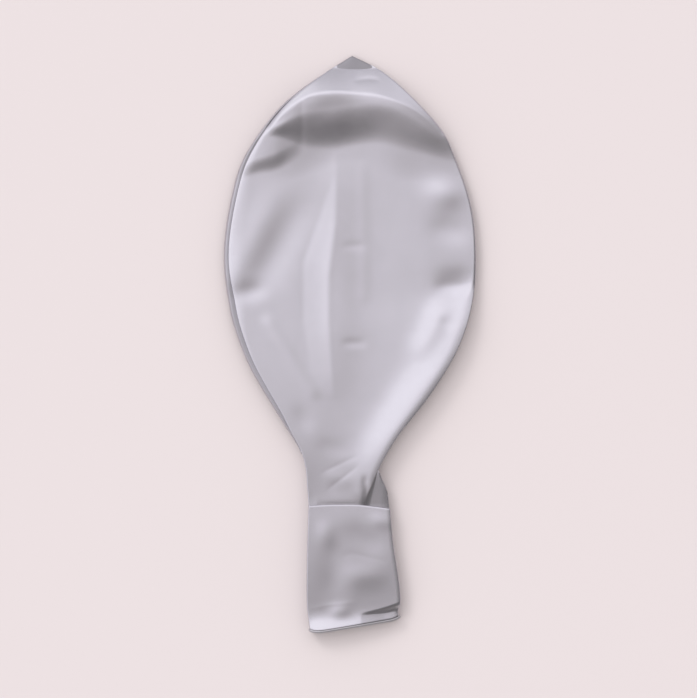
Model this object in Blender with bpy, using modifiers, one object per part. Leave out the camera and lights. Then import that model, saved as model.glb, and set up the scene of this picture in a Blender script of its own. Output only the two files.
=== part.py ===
# A giant latex balloon before it is blown up: one dipped film, lying on its side. The stiff
# film stands up in a raised loop all round, where it folds, and lies lower in the middle.
# X runs across it, Y from its mouth to its crown, Z up from the surface it lies on.
# The origin is on that surface, under the middle of the balloon. Metres.

import math

import bmesh
import bpy
from mathutils import Vector

MM = 0.001

# The film and its folded edges
FILM = 0.5 * MM
TOUCH = 0.3 * MM
EDGE_RADIUS = 1.2 * MM
NECK_EDGE_RADIUS = 1.5 * MM
RIM_LIFT = 0.6 * MM
UNDER_CURL = 10.0 * MM
CUFF_RADIUS = 1.0 * MM
BEAD_RADIUS = 1.25 * MM

# Where the zones of the film begin and end along Y
CROWN_END = 190.6 * MM
CROWN_START = 182.0 * MM
THROAT_START = -62.0 * MM
FOLD_LINE = -105.3 * MM
NECK_TOP = -107.6 * MM

# Outline of the body and throat, as (Y, X) in mm
RIGHT_OUTLINE = [
    (-105.5, 8.6), (-100, 10.5), (-85, 17.3), (-72, 23.9), (-58, 33.0), (-33, 52.6),
    (-2, 71.2), (29, 80.7), (60, 82.9), (93, 79.3), (130, 66.3), (152, 54.0),
    (172, 33.4), (183, 16.4), (190.6, 1.0),
]
LEFT_OUTLINE = [
    (-105.5, -28.0), (-94, -28.9), (-81, -30.0), (-69, -33.6), (-55, -42.3), (-19, -64.2),
    (1, -73.0), (23, -79.5), (60, -83.5), (102, -77.4), (126, -68.6), (157, -45.3),
    (180, -15.7), (190.4, 0.8),
]
# The throat's lower film is wider on the right than the upper film, which is folded in over
# it: its right edge as (Y, X) and that edge's height as (Y, Z)
LOWER_RIGHT_OUTLINE = [
    (-105.5, 26.2), (-96, 24.2), (-89, 21.2), (-81, 18.9), (-74, 19.5), (-68, 23.0), (-62, 26.8),
]
LOWER_RIGHT_HEIGHT = [(-106, 2.4), (-89, 2.8), (-81, 3.1), (-74, 3.5), (-68, 4.6), (-62, 5.7)]
PLEAT_TOP = -84.0 * MM
PLEAT_OVERLAP = 3.4 * MM

# Height of each folded edge's centre line over the surface, as (Y, Z) in mm
LEFT_EDGE_HEIGHT = [(-106, 5.0), (-60, 4.0), (0, 3.0), (60, 2.8), (110, 2.8), (150, 2.0), (191, 1.2)]
RIGHT_EDGE_HEIGHT = [(-106, 6.3), (-60, 6.3), (0, 6.0), (60, 4.5), (135, 4.0), (160, 2.5), (191, 1.2)]

# Lines that run along the upper film, in their order across it, as (Y, X, Z) in mm.
# The film rises or falls smoothly from each line to the next.
LEFT_CREST = [
    (-106, -24.5, 9.5), (-76, -25.0, 9.8), (-56, -35.3, 9.3), (-36, -48.5, 9.0), (-4, -65.0, 8.7),
    (29, -73.5, 8.7), (39, -75.0, 9.0), (62, -66.3, 10.2), (82, -57.1, 10.0), (95, -50.2, 9.6),
    (105, -56.0, 7.8), (114, -60.0, 7.2), (125, -60.0, 10.0), (135, -57.0, 11.5), (150, -42.0, 12.0),
    (163, -30.0, 12.0), (175, -14.0, 12.0), (182, -5.0, 12.0),
]
LEFT_HOLLOW = [
    (-106, -19.0, 9.3), (-76, -18.0, 9.3), (-56, -26.0, 8.7), (-36, -38.6, 8.2), (-4, -54.5, 7.6),
    (29, -64.0, 7.2), (39, -58.4, 6.6), (62, -47.9, 6.4), (82, -38.6, 6.4), (95, -31.0, 6.5),
    (110, -42.0, 6.6), (125, -44.6, 6.8), (150, -33.0, 7.0), (175, -9.0, 7.0), (182, -3.0, 7.0),
]
MIDDLE_CREASE = [
    (-106, -11.0, 9.3), (-76, -9.0, 9.5), (-36, -11.0, 9.0), (-4, -14.0, 8.6), (62, -11.6, 8.2),
    (118, -9.0, 7.6), (150, -8.0, 7.0), (182, 0.5, 7.0),
]
RIGHT_HOLLOW = [
    (-106, -2.0, 9.3), (-83, -0.3, 9.4), (-66, 6.9, 8.8), (-50, 16.2, 8.2), (-32, 24.8, 7.8),
    (3, 41.0, 7.2), (29, 49.2, 7.0), (62, 52.0, 6.9), (95, 49.2, 6.9), (122, 48.0, 7.0),
    (150, 34.0, 7.0), (175, 12.0, 7.0), (182, 5.0, 7.0),
]
RIGHT_CREST = [
    (-106, 2.4, 11.3), (-93, 9.0, 12.3), (-76, 16.0, 13.0), (-56, 29.0, 13.0), (-36, 44.2, 13.0),
    (3, 68.3, 13.0), (29, 75.0, 12.0), (40, 75.6, 8.8), (62, 74.0, 9.8), (74, 72.3, 8.6),
    (99, 69.0, 10.4), (112, 67.0, 9.0), (128, 62.0, 11.5), (150, 47.0, 12.0), (163, 34.0, 12.0),
    (175, 20.0, 12.0), (182, 9.0, 12.0),
]
UPPER_LINES = (LEFT_CREST, LEFT_HOLLOW, MIDDLE_CREASE, RIGHT_HOLLOW, RIGHT_CREST)

# The raised loop across the crown: its crest, and the foot of the slope inside it, as (X, Y)
CROWN_CREST = [(-58, 135), (-52, 141), (-40, 152), (-30, 158), (-13, 160), (6, 161), (26, 157), (40, 150), (64, 135)]
CROWN_FOOT = [(-58, 130), (-43, 133), (-30, 129), (-13, 125), (3, 128), (23, 133), (33, 129), (46, 125), (69, 121)]
CROWN_LOOP = 13.0 * MM

# The neck: (Y, X) of its sides, the slanting line of its mouth, and its height
NECK_LEFT = [(-190, -26.6), (-184, -27.4), (-171, -28.9), (-142, -28.9), (-106, -27.9)]
NECK_RIGHT = [(-190, 33.0), (-171, 33.3), (-160, 32.7), (-147, 30.9), (-129, 28.2), (-106, 26.5)]
NECK_HEIGHT = 12.0 * MM
MOUTH_MIDDLE = Vector((3.4 * MM, -183.6 * MM, 5.9 * MM))
MOUTH_HALF_WIDTH = 29.2 * MM
MOUTH_HALF_HEIGHT = 4.65 * MM
MOUTH_SLANT = 0.155
LIP_OFFSET = 1.9 * MM
OVAL_ACROSS = 0.8
OVAL_UP = 0.55

LATEX_COLOUR = (0.49, 0.48, 0.52, 1.0)
BEAD_COLOUR = (0.42, 0.41, 0.44, 1.0)


def through(stations, at):
    """A smooth line through (place, value) stations, level beyond both ends."""
    if at <= stations[0][0]:
        return stations[0][1]
    if at >= stations[-1][0]:
        return stations[-1][1]
    i = max(k for k in range(len(stations) - 1) if stations[k][0] <= at)

    def slope(k):
        low = stations[max(k - 1, 0)]
        high = stations[min(k + 1, len(stations) - 1)]
        return (high[1] - low[1]) / (high[0] - low[0])

    (x0, v0), (x1, v1) = stations[i], stations[i + 1]
    span = x1 - x0
    t = (at - x0) / span
    square, cube = t * t, t * t * t
    return (
        (2 * cube - 3 * square + 1) * v0
        + (cube - 2 * square + t) * span * slope(i)
        + (3 * square - 2 * cube) * v1
        + (cube - square) * span * slope(i + 1)
    )


def metres(stations, y):
    """The value of stations in mm at a place in metres, in metres."""
    return through(stations, y / MM) * MM


def ease(value, start, end):
    t = min(max((value - start) / (end - start), 0.0), 1.0)
    return t * t * (3 - 2 * t)


def ease_out(value, crest, end):
    """From 1 at a crest round to 0 at an end, as a quarter of an oval."""
    t = min(max((value - crest) / (end - crest), 0.0), 1.0)
    return math.sqrt(1 - t * t)


def inset(outline, y, distance):
    """X of an outline moved inwards by a distance measured square to its edge."""
    step = 0.5 * MM
    lean = (metres(outline, y + step) - metres(outline, y - step)) / (2 * step)
    x = metres(outline, y)
    side = 1 if outline is RIGHT_OUTLINE else -1
    return x - side * distance * math.hypot(1, lean)


def line_point(line, y):
    """X and Z at which a line along the film passes Y."""
    x = metres([(station[0], station[1]) for station in line], y)
    z = metres([(station[0], station[2]) for station in line], y)
    return x, z


def crest_level(x, y):
    """Height of the film by its lines alone, as if it didn't drop to its edges."""
    lines = [line_point(line, y) for line in UPPER_LINES]
    level = lines[0][1]
    for (x0, z0), (x1, z1) in zip(lines, lines[1:]):
        level += (z1 - z0) * ease(x, x0, x1)
    return level + (CROWN_LOOP - level) * ease(y, metres(CROWN_FOOT, x), metres(CROWN_CREST, x))


def upper_height(x, y, left, right):
    """Top of the upper film between its left and right rims, which sit on the folded edges."""
    left_rim = metres(LEFT_EDGE_HEIGHT, y) + RIM_LIFT
    right_rim = metres(RIGHT_EDGE_HEIGHT, y) + RIM_LIFT
    rim = left_rim + (right_rim - left_rim) * ease(x, left, right)
    from_left = ease(x, left, line_point(LEFT_CREST, y)[0])
    short = ease_out(x, line_point(RIGHT_CREST, y)[0], right)
    from_crown = ease(-y, -CROWN_START, -metres(CROWN_CREST, x))
    return rim + (crest_level(x, y) - rim) * from_left * short * from_crown


def rolled_under(rim, distance):
    """Underside of the lower film: at its rim's height at the edge, on the surface further in."""
    return rim * (1 - ease(distance, 0, UNDER_CURL))


def material(name, colour, roughness):
    made = bpy.data.materials.new(name)
    made.use_nodes = True
    shader = made.node_tree.nodes["Principled BSDF"]
    shader.inputs["Base Color"].default_value = colour
    shader.inputs["Roughness"].default_value = roughness
    shader.inputs["Metallic"].default_value = 0.3
    return made


def finish(name, data, parts, look):
    made = bpy.data.objects.new(name, data)
    made.data.materials.append(look)
    parts.objects.link(made)
    return made


def film_sheet(name, columns, rows, place, parts, look):
    """A sheet of film: a grid laid by place(across, along), finer at its sides, made thick."""
    mesh = bpy.data.meshes.new(name)
    grid = bmesh.new()
    bmesh.ops.create_grid(grid, x_segments=columns, y_segments=rows, size=0.5)
    for vertex in grid.verts:
        across = (1 - math.cos(math.pi * (vertex.co.x + 0.5))) / 2
        vertex.co = place(across, vertex.co.y + 0.5)
    grid.to_mesh(mesh)
    grid.free()
    mesh.shade_smooth()
    made = finish(name, mesh, parts, look)
    thickness = made.modifiers.new("film", "SOLIDIFY")
    thickness.thickness = FILM
    thickness.offset = -1
    return made


def roll(name, points, radius, closed, parts, look):
    """A folded or rolled edge of the film: a round strand along points."""
    curve = bpy.data.curves.new(name, "CURVE")
    curve.dimensions = "3D"
    curve.bevel_depth = radius
    curve.bevel_resolution = 2
    curve.use_fill_caps = not closed
    line = curve.splines.new("POLY")
    line.points.add(len(points) - 1)
    for knot, point in zip(line.points, points):
        knot.co = (*point, 1)
    line.use_cyclic_u = closed
    return finish(name, curve, parts, look)


def spaced(start, end, count):
    return [start + (end - start) * k / (count - 1) for k in range(count)]


def body_films(parts, look):
    rim = 2 * EDGE_RADIUS + TOUCH

    def upper(start, end):
        def place(across, along):
            y = start + (end - start) * along
            left = inset(LEFT_OUTLINE, y, rim)
            right = inset(RIGHT_OUTLINE, y, rim)
            x = left + (right - left) * across
            return Vector((x, y, upper_height(x, y, left, right)))

        return place

    def lower(start, end, right_edge, right_height):
        def place(across, along):
            y = start + (end - start) * along
            left = inset(LEFT_OUTLINE, y, rim)
            right = right_edge(y)
            x = left + (right - left) * across
            from_left = rolled_under(metres(LEFT_EDGE_HEIGHT, y) - RIM_LIFT, x - left)
            from_right = rolled_under(right_height(y), right - x)
            return Vector((x, y, FILM + max(from_left, from_right)))

        return place

    def body_right(y):
        return inset(RIGHT_OUTLINE, y, rim)

    def body_right_height(y):
        return metres(RIGHT_EDGE_HEIGHT, y) - RIM_LIFT

    def throat_right(y):
        return metres(LOWER_RIGHT_OUTLINE, y)

    def throat_right_height(y):
        return metres(LOWER_RIGHT_HEIGHT, y)

    joint = THROAT_START
    end = FOLD_LINE + TOUCH
    body_lower = lower(joint, CROWN_START, body_right, body_right_height)
    throat_lower = lower(end, joint - TOUCH, throat_right, throat_right_height)
    film_sheet("body_upper_film", 26, 50, upper(joint, CROWN_START), parts, look)
    film_sheet("throat_upper_film", 14, 10, upper(end, joint - TOUCH), parts, look)
    film_sheet("body_lower_film", 16, 28, body_lower, parts, look)
    film_sheet("throat_lower_film", 12, 10, throat_lower, parts, look)


def body_edges(parts, look):
    """The two side edges, where the upper film turns under to become the lower one."""
    for name, outline, heights in (
        ("left_edge_fold", LEFT_OUTLINE, LEFT_EDGE_HEIGHT),
        ("right_edge_fold", RIGHT_OUTLINE, RIGHT_EDGE_HEIGHT),
    ):
        points = []
        for y in spaced(FOLD_LINE + TOUCH, CROWN_START - TOUCH - EDGE_RADIUS, 44):
            points.append(Vector((inset(outline, y, EDGE_RADIUS), y, metres(heights, y))))
        roll(name, points, EDGE_RADIUS, False, parts, look)


def crown_tip(parts, look):
    """The thicker drip point, where the latex ran together as the form was dipped."""
    thickness = 2 * EDGE_RADIUS
    start = CROWN_START + TOUCH
    curve = bpy.data.curves.new("crown_tip", "CURVE")
    curve.dimensions = "2D"
    curve.fill_mode = "BOTH"
    curve.extrude = thickness / 2
    rows = spaced(start, CROWN_END, 6)
    left = [(metres(LEFT_OUTLINE, y), y) for y in rows[:-1]]
    right = [(metres(RIGHT_OUTLINE, y), y) for y in rows[:-1]]
    outline = left + [(0.9 * MM, CROWN_END)] + right[::-1]
    line = curve.splines.new("POLY")
    line.points.add(len(outline) - 1)
    for knot, (x, y) in zip(line.points, outline):
        knot.co = (x, y, 0, 1)
    line.use_cyclic_u = True
    tip = finish("crown_tip", curve, parts, look)
    tip.location.z = thickness / 2


def throat_pleat(parts, look):
    """The side pleat at the throat, where the lower film runs on past the folded upper film."""
    bottom = FOLD_LINE + TOUCH

    def place(across, along):
        y = bottom + (PLEAT_TOP - bottom) * along
        left = metres(RIGHT_OUTLINE, y) - PLEAT_OVERLAP
        right = metres(LOWER_RIGHT_OUTLINE, y)
        under_roll = metres(RIGHT_EDGE_HEIGHT, y) - EDGE_RADIUS - TOUCH
        over_lower = metres(LOWER_RIGHT_HEIGHT, y) + 2 * FILM + TOUCH
        height = under_roll + (over_lower - under_roll) * across
        return Vector((left + (right - left) * across, y, height))

    film_sheet("throat_pleat", 6, 8, place, parts, look)


def neck_height(x, y):
    """Top of the neck's upper film: flat across the middle, falling to the side edges."""
    half = (metres(NECK_RIGHT, y) - metres(NECK_LEFT, y)) / 2
    middle = (metres(NECK_RIGHT, y) + metres(NECK_LEFT, y)) / 2
    out = ease(abs(x - middle), 0.35 * half, half)
    return NECK_HEIGHT - out * (NECK_HEIGHT - NECK_HEIGHT / 2 - FILM)


def flat_loop(turn, half_width, half_height):
    """A point on a flattened ring at a turn in radians: a long oval with nearly flat sides."""
    across, up = math.cos(turn), math.sin(turn)
    return (
        half_width * math.copysign(abs(across) ** OVAL_ACROSS, across),
        half_height * math.copysign(abs(up) ** OVAL_UP, up),
    )


def mouth_opening(x):
    """How far each lip is from the mouth's middle at x: 1 half way across, 0 at the corners."""
    out = min(abs(x - MOUTH_MIDDLE.x) / MOUTH_HALF_WIDTH, 1.0)
    return (1 - out ** (2 / OVAL_ACROSS)) ** (OVAL_UP / 2)


def mouth_y(x, lip):
    """Y of the mouth's slanting edge; lip is 1 at the upper lip and -1 at the lower one."""
    return MOUTH_MIDDLE.y + MOUTH_SLANT * (x - MOUTH_MIDDLE.x) + lip * LIP_OFFSET


def neck_films(parts, look):
    rim = 2 * NECK_EDGE_RADIUS + TOUCH
    edge_height = NECK_HEIGHT / 2

    def across_neck(y, across):
        left = metres(NECK_LEFT, y) + rim
        right = metres(NECK_RIGHT, y) - rim
        return left + (right - left) * across, left, right

    def along_neck(lip, across, along):
        """Y from the cuff down to the slanting mouth, for the upper or the lower lip."""
        x = across_neck(MOUTH_MIDDLE.y, across)[0]
        low = mouth_y(x, lip * mouth_opening(x)) + BEAD_RADIUS + TOUCH
        return low + (NECK_TOP - low) * along

    def upper(across, along):
        y = along_neck(1, across, along)
        x = across_neck(y, across)[0]
        return Vector((x, y, neck_height(x, y)))

    def lower(across, along):
        y = along_neck(-1, across, along)
        x, left, right = across_neck(y, across)
        rise = 1 - ease(min(x - left, right - x), 0, 9 * MM)
        return Vector((x, y, FILM + rise * (edge_height - FILM - 0.1 * MM)))

    film_sheet("neck_upper_film", 14, 14, upper, parts, look)
    film_sheet("neck_lower_film", 12, 12, lower, parts, look)
    for name, outline, inward in (
        ("neck_left_fold", NECK_LEFT, 1),
        ("neck_right_fold", NECK_RIGHT, -1),
    ):
        points = []
        x_mouth = metres(outline, MOUTH_MIDDLE.y)
        low = mouth_y(x_mouth, 0) + 2.6 * MM
        for y in spaced(low, NECK_TOP, 14):
            x = metres(outline, y) + inward * NECK_EDGE_RADIUS
            points.append(Vector((x, y, edge_height)))
        roll(name, points, NECK_EDGE_RADIUS, False, parts, look)


def cuff_fold(parts, look):
    """The neck's upper end, where its film is folded back under itself all round."""
    left = metres(NECK_LEFT, NECK_TOP)
    right = metres(NECK_RIGHT, NECK_TOP)
    half_width = (right - left) / 2 - CUFF_RADIUS
    half_height = NECK_HEIGHT / 2 - CUFF_RADIUS
    points = []
    for k in range(44):
        across, up = flat_loop(2 * math.pi * k / 44, half_width, half_height)
        points.append(
            Vector(((left + right) / 2 + across, NECK_TOP + CUFF_RADIUS + TOUCH, NECK_HEIGHT / 2 + up))
        )
    roll("cuff_fold", points, CUFF_RADIUS, True, parts, look)


def mouth_bead(parts, look):
    """The rolled rim round the mouth."""
    points = []
    for k in range(52):
        across, up = flat_loop(2 * math.pi * k / 52, MOUTH_HALF_WIDTH, MOUTH_HALF_HEIGHT)
        x = MOUTH_MIDDLE.x + across
        lip = up / MOUTH_HALF_HEIGHT
        points.append(Vector((x, mouth_y(x, lip), MOUTH_MIDDLE.z + up)))
    roll("mouth_bead", points, BEAD_RADIUS, True, parts, look)


def build():
    for old in list(bpy.data.objects):
        bpy.data.objects.remove(old, do_unlink=True)
    parts = bpy.data.collections.new("latex_balloon")
    bpy.context.scene.collection.children.link(parts)
    latex = material("silver_latex", LATEX_COLOUR, 0.42)
    rim = material("rolled_latex", BEAD_COLOUR, 0.38)
    body_films(parts, latex)
    body_edges(parts, latex)
    crown_tip(parts, rim)
    throat_pleat(parts, latex)
    neck_films(parts, latex)
    cuff_fold(parts, latex)
    mouth_bead(parts, rim)


build()
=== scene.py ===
import math

import bpy
import numpy as np
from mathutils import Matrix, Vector


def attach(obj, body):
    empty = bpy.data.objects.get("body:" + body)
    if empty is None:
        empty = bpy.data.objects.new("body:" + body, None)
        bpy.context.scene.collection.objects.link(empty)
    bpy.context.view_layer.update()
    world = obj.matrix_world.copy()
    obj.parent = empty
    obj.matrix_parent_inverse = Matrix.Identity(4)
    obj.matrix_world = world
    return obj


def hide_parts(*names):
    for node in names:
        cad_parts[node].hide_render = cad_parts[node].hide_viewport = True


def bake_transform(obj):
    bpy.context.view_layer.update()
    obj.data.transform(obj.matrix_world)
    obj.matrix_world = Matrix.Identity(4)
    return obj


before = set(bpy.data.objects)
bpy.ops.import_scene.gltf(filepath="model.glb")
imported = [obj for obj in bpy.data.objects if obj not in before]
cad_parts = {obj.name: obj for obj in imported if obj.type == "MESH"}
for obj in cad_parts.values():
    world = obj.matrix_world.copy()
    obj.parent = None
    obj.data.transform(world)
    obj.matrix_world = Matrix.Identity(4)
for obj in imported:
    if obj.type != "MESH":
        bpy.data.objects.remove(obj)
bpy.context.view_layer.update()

# A giant latex balloon before it is blown up, as it lies on a pale floor: one dipped film
# with a raised loop all round, a folded cuff, a short neck and a rolled mouth.
# Lengths in the dictionaries are in millimetres, X across, Y towards the crown, Z up.
mm = 0.001


# Curves and slopes

def smoothLine(stations, at):
    # a smooth line through (place, value) stations, level past both ends
    places, values = np.array(stations, float).T
    low = np.maximum(np.arange(len(places)) - 1, 0)
    high = np.minimum(np.arange(len(places)) + 1, len(places) - 1)
    slopes = (values[high] - values[low]) / (places[high] - places[low])
    at = np.clip(np.asarray(at, float), places[0], places[-1])
    k = np.clip(np.searchsorted(places, at, side="right") - 1, 0, len(places) - 2)
    span = places[k + 1] - places[k]
    t = (at - places[k]) / span
    return (
        (2 * t**3 - 3 * t**2 + 1) * values[k]
        + (t**3 - 2 * t**2 + t) * span * slopes[k]
        + (3 * t**2 - 2 * t**3) * values[k + 1]
        + (t**3 - t**2) * span * slopes[k + 1]
    )


def ease(value, start, end):
    t = np.clip((value - start) / (end - start), 0, 1)
    return t * t * (3 - 2 * t)


def roundRise(distance, reach):
    # from 0, straight up at first, to 1 at its reach: a quarter of an oval
    t = np.clip(1 - distance / reach, 0, 1)
    return np.sqrt(1 - t * t)


# The outline of the body and the throat, read off the photograph as (Y, X); leftHem is the hem's width

outline = {
    "left": [
        (-105.5, -28.0), (-94, -28.9), (-81, -30.0), (-69, -33.6), (-55, -42.3), (-19, -64.2),
        (1, -73.0), (23, -79.5), (60, -83.5), (102, -77.4), (126, -68.6), (157, -45.3),
        (180, -15.7), (190.4, 0.8),
    ],
    "right": [
        (-105.5, 8.6), (-100, 10.5), (-85, 17.3), (-72, 23.9), (-58, 33.0), (-33, 52.6),
        (-2, 71.2), (29, 80.7), (60, 82.9), (93, 79.3), (130, 66.3), (142, 59.5), (155, 48.2),
        (168, 35.2), (175, 27.4), (183, 16.4), (190.6, 1.0),
    ],
    "lowerRight": [
        (-105.5, 25.6), (-96, 24.2), (-89, 21.2), (-81, 18.4), (-74, 17.5), (-62, 24.5),
    ],
    "leftHem": [
        (-76, 0.0), (-60, 0.9), (-45, 2.6), (-20, 3.4), (0, 3.4), (30, 3.6), (52, 2.6),
        (80, 2.6), (115, 2.8), (142, 2.2), (160, 1.8), (172, 0.4), (180, 0.0),
    ],
    "hemJoin": 0.35,  # the film begins this much past the hem's width, and the hem reaches to it
    "rightInset": 0.2,  # how far the film stays inside the right outline
}

# The upper wall's height along Y, at its left edge, down its middle and at its right edge
wallLevels = {
    "left": [(-105, 9.3), (-60, 9.6), (0, 8.4), (40, 7.6), (90, 7.2), (125, 7.2), (150, 7.4)],
    "middle": [(-105, 9.2), (-60, 9.5), (0, 8.2), (40, 7), (80, 6.3), (120, 6.2), (165, 6.3)],
    "right": [
        (-105, 10), (-85, 10.6), (-20, 10.2), (10, 9.4), (36, 7.8), (110, 7.4), (130, 7.4), (150, 7.4),
    ],
}

# Soft ridges in it, and hollows where the height is below zero: width, and (X, Y, height) along each
wallForms = {
    "crownRidge": (9, [
        (-44, 151, 0.4), (-36, 157, 0.8), (-13, 165, 1), (15, 163, 1), (39, 155, 0.8), (60, 136, 0.4),
    ]),
    "leftShoulder": (10, [(-46, 100, 0.2), (-55, 84, 0.4), (-64, 66, 0.5), (-72, 50, 0.6), (-77, 40, 0.5)]),
    "leftHollow": (12, [(-32, 92, -0.3), (-42, 76, -0.6), (-50, 60, -0.7), (-58, 46, -0.6)]),
    "leftHollowEnd": (6, [(-74, 34, -0.5), (-60, 36, -0.5)]),
    "leftRay": (4, [(-55, 16, 0.3), (-40, -7, 0.4), (-23, -33, 0.25)]),
    "middleRise": (14, [(-7, 118, 0.3), (-8, 60, 0.6), (-9, 0, 0.7), (-10, -30, 0.3)]),
    "thinRidge": (4, [(8, 118, 0.08), (9, 30, 0.1)]),
    "highDent": (3, [(-3, 65, -0.12), (8, 65, -0.12)]),
    "lowDent": (3, [(-3, 1, -0.2), (8, 1, -0.15)]),
    "rightRidge": (9, [(56, 101, 1), (67, 97, 1.3)]),
    "rightHollow": (8, [(59, 78, -0.7), (72, 72, -0.5)]),
    "rightStep": (8, [(62, 42, -0.8), (77, 41, -1.3)]),
    "rightStepEdge": (4, [(58, 38, -0.3), (78, 38, -0.4)]),
    "bandTop": (8, [(61, 24, 1.2), (55, 10, 1), (46, -6, 0.7)]),
    "bandRidge": (13, [
        (79, 26, 1.8), (74, 8, 2), (62, -14, 2.3), (44, -38, 2.4), (27, -62, 2.1), (14, -84, 1.3),
    ]),
    "bandDent": (4, [(60, 15, -0.25), (65, 13, -0.2)]),
    "throatHollow": (6, [(-34, -44, -0.3), (-29, -53, -0.3)]),
    "throatDent": (6, [(-18, -66, -0.25), (-6, -70, -0.25)]),
    "throatRise": (5, [(-14, -86, 0.2), (-2, -90, 0.3)]),
    "throatTuck": (2.5, [(9.5, -88, -0.3), (10.5, -99, -0.6)]),
}

# Steps in it: which side of the line is raised, 1 for the crown's, and (X, Y, height, half its width)
wallSteps = {
    "crownStep": (1, [
        (-55, 139, 0, 3), (-48, 140, 1.3, 4), (-37, 141, 2.8, 9), (-27, 141, 3.7, 12), (-12, 141.5, 4.1, 13),
        (5, 144, 4.1, 13), (16, 145, 4.1, 13), (26, 143.5, 3.9, 13), (36, 140, 3.5, 12), (47, 135, 2.7, 10),
        (58, 130, 1.6, 8), (74, 124, 0, 6),
    ]),
    "crownFoot": (1, [
        (-72, 124, 0, 14), (-40, 126, 1.4, 18), (0, 134, 0.7, 14), (30, 126, 1.5, 18),
        (50, 122, 1.2, 16), (74, 114, 0, 12),
    ]),
    "leftPatch": (1, [
        (-76, 112, 0, 5), (-62, 117, 1, 5), (-50, 120, 1.1, 6), (-40, 125, 0.5, 6), (-32, 130, 0, 6),
    ]),
}

# Sharp folds in it: width to each side, height, and the line that each follows as (X, Y)
wallFolds = {
    "crownCrease": (3, 0.15, [(-54, 140), (-45, 150), (-27, 163), (1, 164)]),
    "middleCrease": (5, 0.45, [(-9, 128), (-10, 80), (-14.5, 45), (-14.5, 13), (-11, -36)]),
    "streakFoot": (5, -0.22, [(-10, 114), (-20, 85), (-31, 54), (-31, 15), (-26, -20)]),
    "throatStreak": (2, -0.12, [(-20, -85), (-8, -79), (5, -73)]),
    "throatCrease": (2.5, -0.16, [(6, -79), (-3, -86), (-16, -96)]),
}

# The raised loop at the crown: its crest as (X, Y), and the slope from it down to the drip point
crownLoop = {
    "crest": [
        (-60, 135), (-53, 141), (-45, 150.5), (-36, 158), (-26, 163), (-13, 165), (1, 164.5), (16, 163),
        (27, 160), (39, 155), (50, 147), (60, 136.5),
    ],
    "foot": 183.5,
    "footHeight": 3.2,
    "footShare": 0.04,
    "crestShare": 0.05,
    "bow": 0.12,
    "pleat": (2, -0.6, [(2, 173.5), (12, 175), (20, 174)]),
}

# How far each rim lies below the wall beside it, and how far in from the rim that is made up
rims = {
    "leftDrop": [(-105, 0.5), (-60, 0.4), (0, 0.4), (30, 0.7), (80, 0.7), (120, 0.6), (150, 0.5), (182, 0.4)],
    "leftReach": [(-105, 0.6), (-60, 0.9), (0, 2.5), (35, 8), (90, 9), (120, 5), (150, 2.5)],
    "rightDrop": [(-105, 0.3), (-60, 0.3), (-20, 0.3), (25, 0.35), (45, 0.8), (130, 1), (182, 0.6)],
    "rightReach": [(-105, 4), (-70, 5), (-20, 6), (25, 6), (45, 1.6), (182, 1.4)],
}

# Where the throat passes into the cuff: from here to there along Y, its height across, and a dip at the edge
cuffEntry = {
    "start": -96,
    "end": -107,
    "height": [(-28, 9.2), (-14, 9.4), (-4, 9.5), (6, 9.5), (13, 9), (26, 8.6)],
    "dip": (2.2, -0.5, [(-22, -105.5), (-8, -105.5), (10, -105.5)]),
}


def evenRamp(value, start, end, low, high, bow):
    # from 0 to 1, rounded over its low and high shares and bowed up a little between them
    t = np.clip((value - start) / (end - start), 0, 1)
    rate = 1 / (1 - 0.5 * low - 0.5 * high)
    foot = 0.5 * rate * t * t / low
    top = 1 - 0.5 * rate * (1 - t) ** 2 / high
    straight = np.where(t < low, foot, np.where(t > 1 - high, top, rate * (t - 0.5 * low)))
    return straight + bow * straight * (1 - straight)


def levelAcross(levels, across, y):
    # a bowed line across, through the left, middle and right levels; across runs from 0 to 1
    left, middle, right = (smoothLine(levels[name], y) for name in ("left", "middle", "right"))
    u = 2 * across - 1
    return middle + 0.5 * (right - left) * u + (0.5 * (left + right) - middle) * u * u


def formHeight(x, y, width, line):
    # a soft ridge made of bells half a width apart along its line
    knots = np.array(line, float)
    along = np.append(0, np.cumsum(np.hypot(*np.diff(knots[:, :2], axis=0).T)))
    places, step = np.linspace(0, along[-1], int(2 * along[-1] / width) + 2, retstep=True)
    height = 0
    for place in places:
        px, py, top = (np.interp(place, along, knots[:, axis]) for axis in range(3))
        height = height + top * np.exp(-((np.hypot(x - px, y - py) / width) ** 2))
    return height * step / (width * math.sqrt(math.pi))


def foldHeight(x, y, width, height, line):
    # a sharp fold: highest along its line, and gone at its ends
    ends = np.array(line, float)
    steps = np.hypot(*(ends[1:] - ends[:-1]).T)
    nearest = np.full(np.broadcast(x, y).shape, 1e9)
    place = np.zeros_like(nearest)
    for k, ((x0, y0), (x1, y1)) in enumerate(zip(ends, ends[1:])):
        t = np.clip(((x - x0) * (x1 - x0) + (y - y0) * (y1 - y0)) / steps[k] ** 2, 0, 1)
        away = np.hypot(x - x0 - t * (x1 - x0), y - y0 - t * (y1 - y0))
        place = np.where(away < nearest, steps[:k].sum() + t * steps[k], place)
        nearest = np.minimum(nearest, away)
    along = place / steps.sum()
    return height * np.exp(-np.sqrt((nearest / width) ** 2 + 0.01)) * (4 * along * (1 - along)) ** 0.75


def stepHeight(x, y, side, line):
    # a step across a line, raised or lowered on one side of it
    middle, height, half = (smoothLine([(knot[0], knot[k]) for knot in line], x) for k in (1, 2, 3))
    return height * ease(side * (y - middle), -half, half)


def reliefHeight(x, y, forms, steps, folds):
    height = 0
    for form in forms.values():
        height = height + formHeight(x, y, *form)
    for step in steps.values():
        height = height + stepHeight(x, y, *step)
    for fold in folds.values():
        height = height + foldHeight(x, y, *fold)
    return height


def wallLevel(x, y):
    left = smoothLine(outline["left"], y)
    across = (x - left) / (smoothLine(outline["right"], y) - left)
    return levelAcross(wallLevels, across, y) + reliefHeight(x, y, wallForms, wallSteps, wallFolds)


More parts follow.
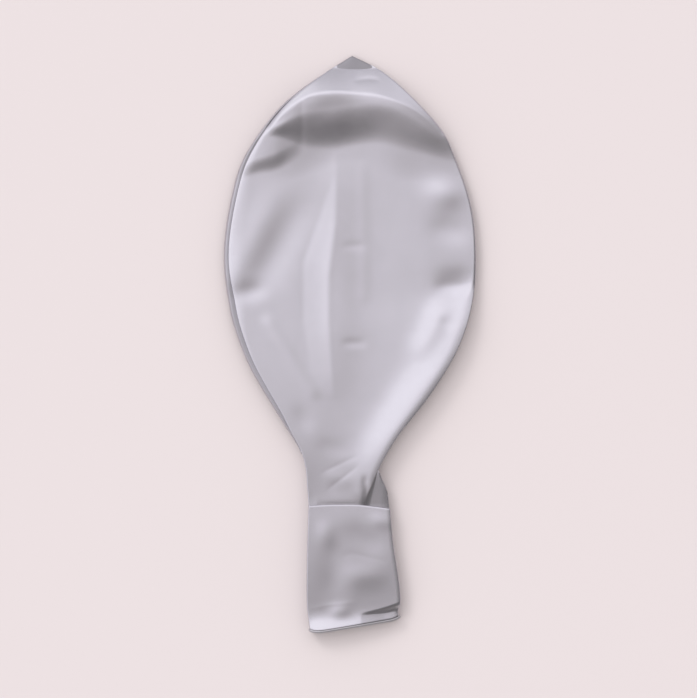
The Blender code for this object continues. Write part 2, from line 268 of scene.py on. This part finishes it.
def upperWall(x, y, left, right):
    loop = crownLoop
    crest = smoothLine(loop["crest"], x)
    level = wallLevel(x, np.minimum(y, crest))  # past the crest it keeps the crest's height
    level = level + foldHeight(x, y, *loop["pleat"])
    entering = ease(-y, -cuffEntry["start"], -cuffEntry["end"])
    level = level + (smoothLine(cuffEntry["height"], x) - level) * entering
    level = level + foldHeight(x, y, *cuffEntry["dip"])
    fromLeft = 1 - roundRise(x - left, smoothLine(rims["leftReach"], y))
    fromRight = np.clip(1 - (right - x) / smoothLine(rims["rightReach"], y), 0, 1) ** 2
    level = level - fromLeft * smoothLine(rims["leftDrop"], y) - fromRight * smoothLine(rims["rightDrop"], y)
    rise = evenRamp(-y, -loop["foot"], -crest, loop["footShare"], loop["crestShare"], loop["bow"])
    return loop["footHeight"] + (level - loop["footHeight"]) * rise


# Colour and surface

def hexColour(text):
    # an sRGB hex colour as Blender's linear one
    channels = [int(text[k:k + 2], 16) / 255 for k in (0, 2, 4)]
    return [c / 12.92 if c <= 0.04045 else ((c + 0.055) / 1.055) ** 2.4 for c in channels] + [1.0]


def addNode(tree, kind, inputs=None, **settings):
    # one node with its settings, its values and its links
    node = tree.nodes.new(kind)
    for name, value in settings.items():
        setattr(node, name, value)
    for socket, value in (inputs or {}).items():
        if isinstance(value, bpy.types.NodeSocket):
            tree.links.new(value, node.inputs[socket])
        else:
            node.inputs[socket].default_value = value
    return node


# Faint clouds where the dip ran, and patches of finer and coarser satin, by their real width
latexSkin = {"cloudWidth": 22, "satinWidth": 4, "satinSpread": 0.03}


def pearlLatex(name, light, dark, roughness, metallic):
    # natural rubber latex with pearl pigment, dipped and leached: a satin skin whose flakes
    # lie flat, so it shines softly like metal
    made = bpy.data.materials.new(name)
    made.use_nodes = True
    tree = made.node_tree
    shader = tree.nodes["Principled BSDF"]
    place = addNode(tree, "ShaderNodeTexCoord").outputs["Object"]
    clouds = addNode(tree, "ShaderNodeTexNoise", {
        "Vector": place, "Scale": 1 / (latexSkin["cloudWidth"] * mm), "Detail": 3.0,
    })
    tone = addNode(tree, "ShaderNodeMix", {
        "Factor": clouds.outputs["Fac"], "A": hexColour(dark), "B": hexColour(light),
    }, data_type="RGBA")
    tree.links.new(tone.outputs["Result"], shader.inputs["Base Color"])
    satin = addNode(tree, "ShaderNodeTexNoise", {
        "Vector": place, "Scale": 1 / (latexSkin["satinWidth"] * mm), "Detail": 2.0,
    })
    spread = addNode(tree, "ShaderNodeMapRange", {
        "Value": satin.outputs["Fac"],
        "To Min": roughness - latexSkin["satinSpread"],
        "To Max": roughness + latexSkin["satinSpread"],
    })
    tree.links.new(spread.outputs["Result"], shader.inputs["Roughness"])
    shader.inputs["Metallic"].default_value = metallic
    return made


print("materials")
filmLook = pearlLatex("pearlLatexFilm", "C7C4CB", "BFBCC2", 0.25, 0.9)
hemPaintedShadeLook = pearlLatex("pearlLatexHemPaintedShade", "B9B6BD", "B1AEB4", 0.3, 0.9)  # pinched double film, coloured a little darker than the film as painted shade for the dark line along the left edge
tipLook = pearlLatex("thickLatexTip", "8C898D", "838085", 0.36, 0.6)  # the drip point, thick and dull, coloured much darker than the film
beadLook = pearlLatex("thickLatexBead", "B0ADB1", "A5A2A6", 0.34, 0.7)  # many turns of film, rolled up


# Making a film from a grid that is wrapped round into a tube

def startGrid(name, columns, rows):
    bpy.ops.object.select_all(action="DESELECT")
    bpy.ops.mesh.primitive_grid_add(x_subdivisions=columns, y_subdivisions=rows, size=1.0)
    piece = bpy.context.object
    piece.name = name
    piece.data.name = name
    return piece


def wrapGrid(name, rounds, thickness, look):
    # rounds holds one closed round of (x, y, z) for each row, all with the same count
    rowCount, columnCount = rounds.shape[:2]
    piece = startGrid(name, columnCount - 1, rowCount - 1)
    points = np.empty(rowCount * columnCount * 3, np.float32)
    piece.data.vertices.foreach_get("co", points)
    flat = points.reshape(-1, 3)
    column = np.rint((flat[:, 0] + 0.5) * (columnCount - 1)).astype(int)
    row = np.rint((flat[:, 1] + 0.5) * (rowCount - 1)).astype(int)
    flat[:] = rounds[row, column] * mm
    piece.data.vertices.foreach_set("co", points)
    bpy.ops.object.mode_set(mode="EDIT")
    bpy.ops.mesh.select_all(action="SELECT")
    bpy.ops.mesh.remove_doubles(threshold=0.00001)
    bpy.ops.mesh.normals_make_consistent(inside=False)
    bpy.ops.object.mode_set(mode="OBJECT")
    if thickness:
        wall = piece.modifiers.new("wall", "SOLIDIFY")
        wall.thickness = thickness * mm
        wall.offset = -1
        bpy.ops.object.modifier_apply(modifier="wall")
    bpy.ops.object.shade_smooth()
    piece.data.materials.append(look)
    return piece


def closeEnds():
    # a cap on each open end of the piece that was just made
    bpy.ops.object.mode_set(mode="EDIT")
    bpy.ops.mesh.select_all(action="SELECT")
    bpy.ops.mesh.fill_holes(sides=0)
    bpy.ops.mesh.select_all(action="SELECT")
    bpy.ops.mesh.normals_make_consistent(inside=False)
    bpy.ops.object.mode_set(mode="OBJECT")


def stackRounds(x, y, z):
    return np.stack([x, np.broadcast_to(y, x.shape), z], axis=2)


columnSpread = {"even": 0.45, "crowded": 0.55}  # how much each of the two counts


def columnsAcross(count):
    # from 0 to 1, closer together towards both ends
    even = np.linspace(0, 1, count)
    return columnSpread["even"] * even + columnSpread["crowded"] * (1 - np.cos(np.pi * even)) / 2


def pathPoints(knots, count):
    # count points spread along knots, each knot an (x, z) pair of arrays
    knots = np.array(knots)
    where = np.linspace(0, len(knots) - 1, count)
    order = np.arange(len(knots))
    return [
        np.array([np.interp(where, order, knots[:, axis, row]) for row in range(knots.shape[2])])
        for axis in (0, 1)
    ]


# The film of the body and the throat, one round of it for each row

bodySize = {
    "upper": 130,
    "pleat": 12,
    "lower": 34,
    "rows": 270,
    "film": 0.3,
    "end": -114.0,
    "crown": 184.6,
    "floorGap": 0.15,
    "curl": 8.0,  # how far in the right side turns under, at most curlShare of the width
    "curlShare": 0.3,
    "turnUnder": [(0.02, 0.72), (0.1, 0.44), (0.28, 0.22), (0.55, 0.06)],  # (share of curl, share of height)
    "rightFoot": 7.0,
    "leftTurn": 4.5,
    "pleatStart": -74,
    "pleatFull": -84,
    "pleatHeight": [(-105, 8.4), (-95, 8.8), (-74, 9.8)],
    "pleatFall": 0.06,
}


def rightSide(y, left, right, rightRim):
    # from the right rim down, round and, at the throat, out over the wider lower wall
    size = bodySize
    lowerRight = smoothLine(outline["lowerRight"], y)
    pleatRoot = smoothLine(size["pleatHeight"], y)
    pleatRim = pleatRoot - size["pleatFall"] * (lowerRight - right)
    curl = np.minimum(size["curl"], (right - left) * size["curlShare"])
    turned = [(right, rightRim)]
    turned += [(right - inward * curl, rightRim * height) for inward, height in size["turnUnder"]]
    turned += [(right - curl, 0 * y + size["floorGap"])]
    pleated = [
        (right, rightRim), (right - 0.3, 0.5 * (rightRim + pleatRoot)), (right - 0.1, pleatRoot),
        (lowerRight - 1.0, pleatRim + 0.3), (lowerRight, pleatRim), (lowerRight - 0.8, pleatRim - 0.7),
    ]
    pleat = ease(-y, -size["pleatStart"], -size["pleatFull"])
    knots = [
        ((a + (c - a) * pleat)[:, 0], (b + (d - b) * pleat)[:, 0])
        for (a, b), (c, d) in zip(turned, pleated)
    ]
    return pathPoints(knots, size["pleat"] + 2)


def bodyFilm():
    size = bodySize
    y = np.linspace(size["end"], size["crown"], size["rows"])[:, None]
    left = smoothLine(outline["left"], y) + smoothLine(outline["leftHem"], y) + outline["hemJoin"]
    right = smoothLine(outline["right"], y) - outline["rightInset"]
    upperX = left + (right - left) * columnsAcross(size["upper"])
    upperZ = upperWall(upperX, y, left, right)
    leftRim, rightRim = upperZ[:, :1], upperZ[:, -1:]
    sideX, sideZ = rightSide(y, left, right, rightRim)
    # the lower wall, back to the left rim
    start, startZ = sideX[:, -1:], sideZ[:, -1:]
    gap = size["floorGap"]
    lowerX = start + (left - start) * columnsAcross(size["lower"])
    lowerZ = gap + (startZ - gap) * (1 - ease(start - lowerX, 0, size["rightFoot"]))
    lowerZ = np.maximum(lowerZ, gap + (leftRim - gap) * (1 - roundRise(lowerX - left, size["leftTurn"])))
    x = np.hstack([upperX, sideX[:, 1:-1], lowerX])
    z = np.hstack([upperZ, sideZ[:, 1:-1], lowerZ])
    return wrapGrid("bodyFilm", stackRounds(x, y, z), size["film"], filmLook)


print("body film")
body = bodyFilm()
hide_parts("body_upper_film", "body_lower_film", "throat_upper_film", "throat_lower_film",
            "right_edge_fold", "throat_pleat")
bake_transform(body)


# The hem at the left side, where the film is pinched flat below the raised loop

hemSize = {
    "top": 176.0,
    "bottom": -72.0,
    "rows": 200,
    "film": 0.9,
    "tuck": 0.9,  # how far its inner edges reach in below the film
    "below": 0.12,
    "peak": [(-70, 0.12), (20, 0.15), (50, 0.4), (170, 0.4)],
    "rise": [(-70, 0.4), (30, 0.4), (50, 0.25), (170, 0.25)],
    "riseWidth": 2.5,
    "fall": [(-70, 0), (30, 0), (50, 0.1), (170, 0.1)],
    "edgeWidth": 1.2,
    "edgeDrop": 1.8,
    "dropWidth": 1.5,
}


def leftHem():
    size = hemSize
    y = np.linspace(size["bottom"], size["top"], size["rows"])[:, None]
    outer = smoothLine(outline["left"], y)
    width = smoothLine(outline["leftHem"], y) + outline["hemJoin"]
    film = outer + width
    right = smoothLine(outline["right"], y) - outline["rightInset"]
    level = upperWall(film, y, film, right) - size["below"]
    rise = smoothLine(size["rise"], y) * np.minimum(1, width / size["riseWidth"])
    peak = smoothLine(size["peak"], y)
    # across the top from the film to the outer edge, round it and back below
    top, edge, below = np.linspace(1, 0.1, 16), [0.04, 0.0, 0.0, 0.04], np.linspace(0.15, 1, 6)
    across = np.concatenate([top, edge, below])
    upper = np.arange(len(across)) < len(top) + len(edge) // 2
    bump = np.where(
        across > peak,
        np.cos(0.5 * np.pi * (across - peak) / (1 - peak)),
        np.cos(0.5 * np.pi * (peak - across) / peak),
    )
    x = outer + across * (width + size["tuck"] * (across > 0.95))
    inset = np.minimum(across, 1) * width
    atEdge = 1 - np.minimum(1, inset / size["edgeWidth"])
    down = smoothLine(size["fall"], y) * (width - inset)
    down = down + size["edgeDrop"] * atEdge * np.minimum(1, width / size["dropWidth"])
    z = level + rise * bump - down - np.where(upper, 0, size["film"])
    x = np.hstack([x, x[:, :1]])
    z = np.hstack([z, z[:, :1]])
    piece = wrapGrid("leftHem", stackRounds(x, y, z), 0, hemPaintedShadeLook)
    closeEnds()
    return piece


print("left hem")
hem = leftHem()
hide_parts("left_edge_fold")
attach(hem, "envelope")


# The drip point at the crown

tipSize = {
    "start": 180.0,
    "top": 190.4,
    "rows": 28,
    "around": 32,
    "thickness": 4.1,
    "end": 2.8,  # how thick it would be at the point
    "point": 190.5,
    "floorGap": 0.1,
    "overlap": 0.02,
    "taper": 3.0,
    "squareness": (0.9, 0.7),  # across and up, less being squarer
}


def crownTip():
    size = tipSize
    y = np.linspace(size["start"], size["top"], size["rows"])[:, None]
    left = smoothLine(outline["left"], y)
    right = smoothLine(outline["right"], y)
    middle = (left + right) / 2
    half = (right - left) / 2 + size["overlap"]
    turn = np.linspace(0, 2 * np.pi, size["around"] + 1)
    start, point = size["start"], size["point"]
    thick = size["thickness"] + (size["end"] - size["thickness"]) * (y - start) / (point - start)
    thick = thick * roundRise(half, size["taper"])
    flat, tall = size["squareness"]
    height = size["floorGap"] + size["thickness"] / 2
    x = middle - half * np.sign(np.cos(turn)) * np.abs(np.cos(turn)) ** flat
    z = height + thick / 2 * np.sign(np.sin(turn)) * np.abs(np.sin(turn)) ** tall
    piece = wrapGrid("crownTip", stackRounds(x, y, z), 0, tipLook)
    closeEnds()
    return piece


print("crown tip")
tip = crownTip()
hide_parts("crown_tip")
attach(tip, "envelope")


# The neck: it starts inside the cuff, turns over at the cuff's edge and runs to the mouth

# Its upper side: levels along Y, then forms, steps and folds as for the wall
neckLevels = {
    "left": [(-190, 10.1), (-150, 11.2), (-120, 11), (-106, 10.6)],
    "middle": [(-190, 10.1), (-150, 10.9), (-120, 10.6), (-106, 10.1)],
    "right": [(-190, 10.2), (-150, 10.4), (-120, 10.6), (-106, 10.5)],
}

neckForms = {
    "cornerRise": (6, [(-17, -121, 0.6), (-15, -131, 0.3)]),
    "cuffHollow": (8, [(2, -121, -0.4), (8, -127, -0.5), (17, -132, -0.6)]),
    "cuffLight": (5, [(17, -114, 0.4), (24, -116, 0.3)]),
    "middleRise": (8, [(1, -152, 0.6), (18, -152, 0.5)]),
    "leftHollow": (9, [(-12, -134, -0.3), (-11, -160, -0.5)]),
    "lowRise": (5, [(-11, -176, 0.7), (-3, -175, 0.6)]),
    "mouthRise": (8, [(-24, -190, 3.4), (-4, -190, 3.2), (8, -188, 2), (20, -187, 1.3), (32, -184, 1.3)]),
}

neckSteps = {
    "tuck": (-1, [(7, -177, 0, 1), (16, -175.6, -1, 1.5), (23, -174.4, -1.8, 2.3), (34, -171.4, -2.5, 3)]),
}

neckFolds = {
    "mouthFold": (2.5, 0.1, [(-28, -174), (-15, -171), (5, -169)]),
    "midCrease": (2.5, -0.08, [(-7, -140), (1, -137), (25, -143)]),
}

neck = {
    "left": [(-190, -26.6), (-184, -27.4), (-171, -28.9), (-142, -28.9), (-106, -27.9)],
    "right": [
        (-190, 33.0), (-180, 32.6), (-176, 31.5), (-171, 33.1), (-160, 32.7), (-147, 30.9), (-129, 28.2),
        (-106, 26.5),
    ],
    "middle": 5.95,
    "floorGap": 0.1,
    "side": 0.6,
    "roll": (3.2, 0.4),  # how far in the right side rolls down, and how far down
    "under": 5.0,
    "top": -105.5,
    "lining": 8.0,
    "edge": 0.6,  # the cuff's folded edge is round, by this along Y and by turn across the film
    "turn": 0.38,
    "start": 0.7,  # how far below the edge the run to the mouth begins
    "cuffWave": [(-28, -0.5), (-14, 0.2), (4, 0.2), (16, -1), (26, -2.4)],
    "waveFade": (-128, -107),
    "mouth": -185.2,
    "mouthX": 3.4,
    "mouthHalf": 30.5,
    "slant": 0.155,
    "corner": 2.4,
    "lip": 0.35,
    "endDip": (1.6, 1.1),  # over how much of its end the upper side dips to the bead, and how far
    "film": 0.35,
    "upper": 120,
    "lower": 60,
    "rows": 130,
}


def neckTop(x, y):
    left = smoothLine(neck["left"], y)
    across = (x - left) / (smoothLine(neck["right"], y) - left)
    return levelAcross(neckLevels, across, y) + reliefHeight(x, y, neckForms, neckSteps, neckFolds)


def mouthLine(x, z):
    # the mouth's end along Y: slanted, drawn in at its corners, with its lips a little apart
    lip = np.clip(z / neck["middle"] - 1, -1, 1)
    corner = neck["corner"] * np.abs((x - neck["mouthX"]) / neck["mouthHalf"]) ** 10
    return neck["mouth"] + neck["slant"] * (x - neck["mouthX"]) + lip * neck["lip"] + corner


def neckRow(x, y, z):
    # the cuff's edge strays from straight, and that fades out down the neck
    wave = smoothLine(neck["cuffWave"], x) * ease(y, *neck["waveFade"])
    return np.stack([x, y + wave, z], axis=1)


def neckRound(y, shrink, end=None):
    # one round of the neck: X and Z at a row, drawn in by shrink, and dipping to its bead at its end
    y = np.broadcast_to(y, neck["upper"] + neck["lower"] - 1)
    left = smoothLine(neck["left"], y) + shrink
    right = smoothLine(neck["right"], y) - shrink
    across = np.append(columnsAcross(neck["upper"]), 1 - columnsAcross(neck["lower"])[1:])
    x = left + (right - left) * across
    edge = np.minimum(x - left, right - x)
    top = neckTop(x, y) - shrink - neck["middle"]
    reach, drop = neck["roll"]
    top = top - drop * np.clip(1 - (right - x) / reach, 0, 1) ** 2
    if end is not None:
        reach, drop = neck["endDip"]
        top = top - drop * (1 - roundRise(y - end, reach))
    above = neck["middle"] + top * roundRise(edge, neck["side"])
    below = neck["middle"] - (neck["middle"] - neck["floorGap"] - shrink) * roundRise(edge, neck["under"])
    upper = np.arange(len(x)) < neck["upper"]
    return x, np.where(upper, above, below)


def neckFilm():
    rows = []
    for t in np.linspace(1, 0, 8):  # the lining, from inside the cuff up to its edge
        y = neck["top"] - 2 * neck["edge"] - t * neck["lining"]
        x, z = neckRound(y, 2 * neck["turn"])
        rows.append(neckRow(x, y, z))
    for angle in np.linspace(150, 30, 5):  # over the folded edge
        y = neck["top"] - neck["edge"] + neck["edge"] * math.sin(math.radians(angle))
        x, z = neckRound(y, neck["turn"] * (1 + math.cos(math.radians(180 - angle))))
        rows.append(neckRow(x, y, z))
    start = neck["top"] - neck["start"]
    for t in 1 - np.linspace(1, 0, neck["rows"]) ** 1.3:  # down to the mouth, closer together there
        x, z = neckRound(start + (neck["mouth"] - start) * t, 0)
        end = mouthLine(x, z)
        y = start + (end - start) * t
        x, z = neckRound(y, 0, end)
        rows.append(neckRow(x, y, z))
    return wrapGrid("neckFilm", np.array(rows), neck["film"], filmLook)


print("neck")
neckPiece = neckFilm()
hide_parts("neck_upper_film", "neck_lower_film", "neck_left_fold", "neck_right_fold", "cuff_fold")
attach(neckPiece, "neck")


# The rolled rim of the mouth, which lies against the end of the neck all round

bead = {"radius": 1.2, "around": 14, "count": 240, "inset": 0.4, "floorGap": 0.05}


def mouthBead():
    # its middle runs round the neck's end section, evenly spaced
    x, z = neckRound(neck["mouth"], bead["inset"])
    y = mouthLine(x, z)
    x, z = neckRound(y, bead["inset"], y)
    path = np.stack([x, y, np.maximum(z, bead["radius"] + bead["floorGap"])], axis=1)
    length = np.append(0, np.cumsum(np.linalg.norm(np.diff(path, axis=0), axis=1)))
    places = np.linspace(0, length[-1], bead["count"] + 1)
    centre = np.stack([np.interp(places, length, path[:, axis]) for axis in range(3)], axis=1)
    along = np.gradient(centre, axis=0)
    along[0] = along[-1] = centre[1] - centre[-2]
    along /= np.linalg.norm(along, axis=1)[:, None]
    side = np.cross(along, [0.0, 1.0, 0.0])
    side /= np.linalg.norm(side, axis=1)[:, None]
    other = np.cross(along, side)
    angle = np.linspace(0, 2 * np.pi, bead["around"] + 1)
    rounds = (
        centre[:, None]
        + bead["radius"] * np.cos(angle)[None, :, None] * side[:, None]
        + bead["radius"] * np.sin(angle)[None, :, None] * other[:, None]
    )
    return wrapGrid("mouthBead", rounds, 0, beadLook)


print("mouth bead")
rim = mouthBead()
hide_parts("mouth_bead")
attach(rim, "neck")


# Floor, light and camera

studio = {
    "floor": "BEB5B5",
    "floorSize": 6.0,  # metres
    "floorRoughness": 0.7,
    "pixel": 0.66,
    "middleX": 350.5,
    "middleY": 344.5,
    "imageWidth": 697,
    "imageHeight": 698,
    "cameraHeight": 1.4,  # metres
    "scaleHeight": 0.003,  # metres above the floor, where a pixel is that wide
    "softKey": {"from": (-0.5, 0.58, 0.85), "strength": 0.3, "width": 66, "shine": True},
    "shadowKey": {"from": (-0.5, 0.64, 0.59), "strength": 0.95, "width": 20, "shine": False},
    "fill": {"from": (0, 0, 1), "strength": 2.5, "width": 175, "shine": False},
    "skyLow": ("FFF6F2", 0.1),
    "skyHigh": ("FAF9FF", 1.17),
    "skyTowards": (-0.62, 0.78, 0.0),
    "skyRamp": (-0.42, 0.26),
    "skyRise": (0.2, 0.8, 0.35),
    "skyEdge": (0.45, 0.1, 0.6),
}


def plainFloor():
    bpy.ops.object.select_all(action="DESELECT")
    bpy.ops.mesh.primitive_plane_add(size=studio["floorSize"])
    floor = bpy.context.object
    floor.name = "floor"
    look = bpy.data.materials.new("paintedFloor")
    look.use_nodes = True
    shader = look.node_tree.nodes["Principled BSDF"]
    shader.inputs["Base Color"].default_value = hexColour(studio["floor"])
    shader.inputs["Roughness"].default_value = studio["floorRoughness"]
    floor.data.materials.append(look)


def smoothRange(tree, value, start, end, low=0.0, high=1.0):
    # a smooth step from low to high as value goes from start to end
    return addNode(tree, "ShaderNodeMapRange", {
        "Value": value, "From Min": start, "From Max": end, "To Min": low, "To Max": high,
    }, interpolation_type="SMOOTHSTEP").outputs["Result"]


def softSky():
    # a wide soft light that is bright towards the key light's side and dim on the far side
    world = bpy.data.worlds.new("studio")
    bpy.context.scene.world = world
    world.use_nodes = True
    tree = world.node_tree
    sky = tree.nodes["Background"]
    way = addNode(tree, "ShaderNodeTexCoord").outputs["Generated"]
    towards = Vector(studio["skyTowards"]).normalized()
    facing = addNode(tree, "ShaderNodeVectorMath", {0: way, 1: towards}, operation="DOT_PRODUCT")
    (lowColour, low), (highColour, high) = studio["skyLow"], studio["skyHigh"]
    ramp = smoothRange(tree, facing.outputs["Value"], *studio["skyRamp"])
    up = addNode(tree, "ShaderNodeSeparateXYZ", {"Vector": way}).outputs["Z"]
    rise = smoothRange(tree, up, *studio["skyRise"])
    side = addNode(tree, "ShaderNodeMath", {0: ramp, 1: rise}, operation="MULTIPLY")
    start, end, atEdge = studio["skyEdge"]
    edge = smoothRange(tree, up, start, end, low, atEdge)
    strength = addNode(tree, "ShaderNodeMapRange", {
        "Value": side.outputs["Value"], "To Min": edge, "To Max": high,
    })
    tint = addNode(tree, "ShaderNodeMix", {
        "Factor": ramp, "A": hexColour(lowColour), "B": hexColour(highColour),
    }, data_type="RGBA")
    tree.links.new(strength.outputs["Result"], sky.inputs["Strength"])
    tree.links.new(tint.outputs["Result"], sky.inputs["Color"])


def keyLight(name):
    # far off, so that the floor is lit evenly; its width makes the shadows' edges soft
    key = studio[name]
    light = bpy.data.lights.new(name, "SUN")
    light.energy = key["strength"]
    light.angle = math.radians(key["width"])
    lamp = bpy.data.objects.new(name, light)
    lamp.location = key["from"]
    lamp.rotation_euler = (-Vector(key["from"])).to_track_quat("-Z", "Y").to_euler()
    lamp.visible_glossy = key["shine"]
    bpy.context.scene.collection.objects.link(lamp)


def topCamera():
    # straight down, with the balloon where the photograph has it
    camera = bpy.data.cameras.new("topCamera")
    view = bpy.data.objects.new("topCamera", camera)
    bpy.context.scene.collection.objects.link(view)
    offX = (studio["imageWidth"] / 2 - studio["middleX"]) * studio["pixel"] * mm
    offY = (studio["middleY"] - studio["imageHeight"] / 2) * studio["pixel"] * mm
    view.location = (offX, offY, studio["cameraHeight"])
    camera.sensor_fit = "HORIZONTAL"
    width = studio["imageWidth"] * studio["pixel"] * mm
    camera.lens = camera.sensor_width * (studio["cameraHeight"] - studio["scaleHeight"]) / width
    bpy.context.scene.camera = view


print("studio")
plainFloor()
softSky()
keyLight("softKey")
keyLight("shadowKey")
keyLight("fill")
topCamera()
bpy.context.scene.view_settings.view_transform = "Standard"
